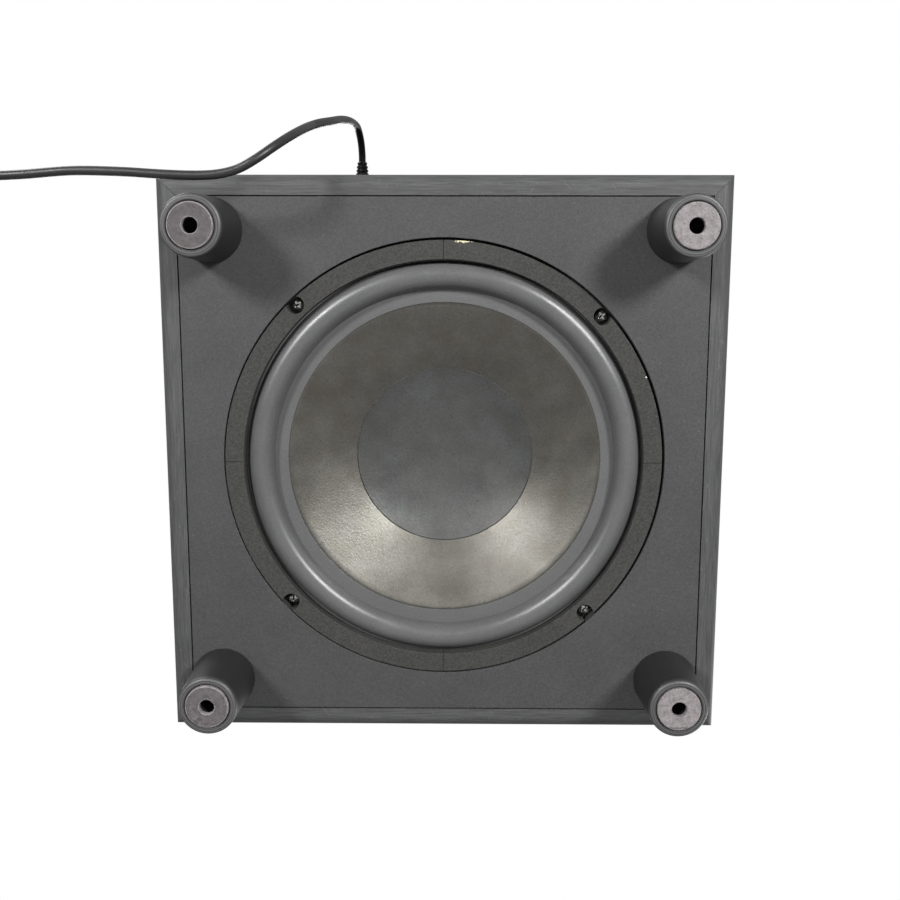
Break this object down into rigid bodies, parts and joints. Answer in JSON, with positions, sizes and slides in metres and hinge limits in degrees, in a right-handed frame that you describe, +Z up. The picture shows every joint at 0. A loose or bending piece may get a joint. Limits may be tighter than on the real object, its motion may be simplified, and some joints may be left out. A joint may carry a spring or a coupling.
{
  "type": "powered subwoofer",
  "caption": "Square down-firing powered subwoofer on round feet, with a recessed ten-inch driver underneath, an amplifier plate behind and a coiled mains lead.",
  "frame": {"origin": "on the floor, under the middle of the object's box without its mains lead", "axes": "+Z up, front towards -Y, amplifier plate towards +Y, +X to the right seen from the front"},
  "size_m": [0.5002, 0.3821, 0.406],
  "materials": {
    "vinyl_wrap": "black vinyl wrap with a fine grain over fibreboard, satin",
    "painted_board": "fibreboard painted charcoal, flat, slightly mottled",
    "raw_board": "bare fibreboard",
    "foot_plastic": "moulded black plastic, satin",
    "foot_rubber": "worn grey rubber, dull",
    "ring_board": "pressed gasket board, dark grey, matt",
    "surround_rubber": "moulded grey rubber, satin with a soft highlight",
    "cone_coating": "metallic grey satin coating with a circular sheen",
    "black_steel": "black painted pressed steel",
    "zinc_steel": "zinc plated steel",
    "copper": "enamelled copper wire",
    "former_film": "brown phenolic film and laminate",
    "spider_cloth": "resin-dipped woven cloth",
    "ferrite": "sintered ferrite, dull",
    "black_plastic": "moulded black plastic",
    "plate_paint": "black anodised and painted aluminium",
    "board_laminate": "green glass-fibre laminate",
    "foam": "black foam strip",
    "wadding": "white polyester wadding",
    "nickel": "nickel plated brass",
    "led_lens": "green diffused lens",
    "cord_rubber": "black flexible cord sheath, satin",
    "tie_plastic": "black coated tie"
  },
  "bodies": {
    "cabinet": {"front_panel": "vinyl_wrap", "right_panel": "vinyl_wrap", "rear_panel": "vinyl_wrap", "left_panel": "vinyl_wrap", "top_panel": "vinyl_wrap", "bottom_baffle": "painted_board", "baffle_frame": "raw_board", "foot_front_left": "foot_plastic", "foot_front_right": "foot_plastic", "foot_rear_right": "foot_plastic", "foot_rear_left": "foot_plastic", "foot_pad_front_left": "foot_rubber", "foot_pad_front_right": "foot_rubber", "foot_pad_rear_right": "foot_rubber", "foot_pad_rear_left": "foot_rubber", "gasket_segment_1": "ring_board", "gasket_segment_2": "ring_board", "gasket_segment_3": "ring_board", "gasket_segment_4": "ring_board", "surround": "surround_rubber", "driver_basket": "black_steel", "driver_screw_1": "zinc_steel", "driver_screw_2": "zinc_steel", "driver_screw_3": "zinc_steel", "driver_screw_4": "zinc_steel", "top_plate": "zinc_steel", "back_plate": "zinc_steel", "volume_pot": "zinc_steel", "crossover_pot": "zinc_steel", "phase_switch": "zinc_steel", "transformer": "copper", "terminal_strip": "former_film", "spider": "spider_cloth", "magnet": "ferrite", "capacitor": "black_plastic", "fuse_cap": "black_plastic", "power_switch": "black_plastic", "line_jacks": "black_plastic", "amp_plate": "plate_paint", "heatsink": "plate_paint", "circuit_board": "board_laminate", "amp_gasket": "foam", "acoustic_wadding": "wadding", "line_jack_left": "nickel", "line_jack_right": "nickel", "power_led": "led_lens", "speaker_lead": "cord_rubber", "strain_relief": "cord_rubber", "power_cord": "cord_rubber", "cord_coil": "cord_rubber", "power_plug": "cord_rubber", "cord_tie": "tie_plastic"},
    "cone_assembly": {"cone": "cone_coating", "dust_cap": "cone_coating", "voice_coil_former": "former_film", "voice_coil": "copper"},
    "volume_knob": {"volume_knob": "black_plastic"},
    "crossover_knob": {"crossover_knob": "black_plastic"},
    "phase_slider": {"phase_slider": "black_plastic"},
    "power_rocker": {"power_rocker": "black_plastic"}
  },
  "joints": [
    {"name": "cone_travel", "type": "slide", "parent": "cabinet", "child": "cone_assembly", "axis": [0, 0, 1], "range_m": [-0.007, 0.007], "stiffness_N_per_m": 2900, "deforming": ["surround", "spider"]},
    {"name": "volume_turn", "type": "hinge", "parent": "cabinet", "child": "volume_knob", "pos_m": [0.025, 0.167, 0.236], "axis": [0, 1, 0], "range_deg": [-150, 150]},
    {"name": "crossover_turn", "type": "hinge", "parent": "cabinet", "child": "crossover_knob", "pos_m": [-0.025, 0.167, 0.236], "axis": [0, 1, 0], "range_deg": [-150, 150]},
    {"name": "phase_slide", "type": "slide", "parent": "cabinet", "child": "phase_slider", "axis": [-1, 0, 0], "range_m": [0, 0.004]},
    {"name": "power_rock", "type": "hinge", "parent": "cabinet", "child": "power_rocker", "pos_m": [-0.06, 0.16, 0.176], "axis": [1, 0, 0], "range_deg": [-18, 0]}
  ]
}
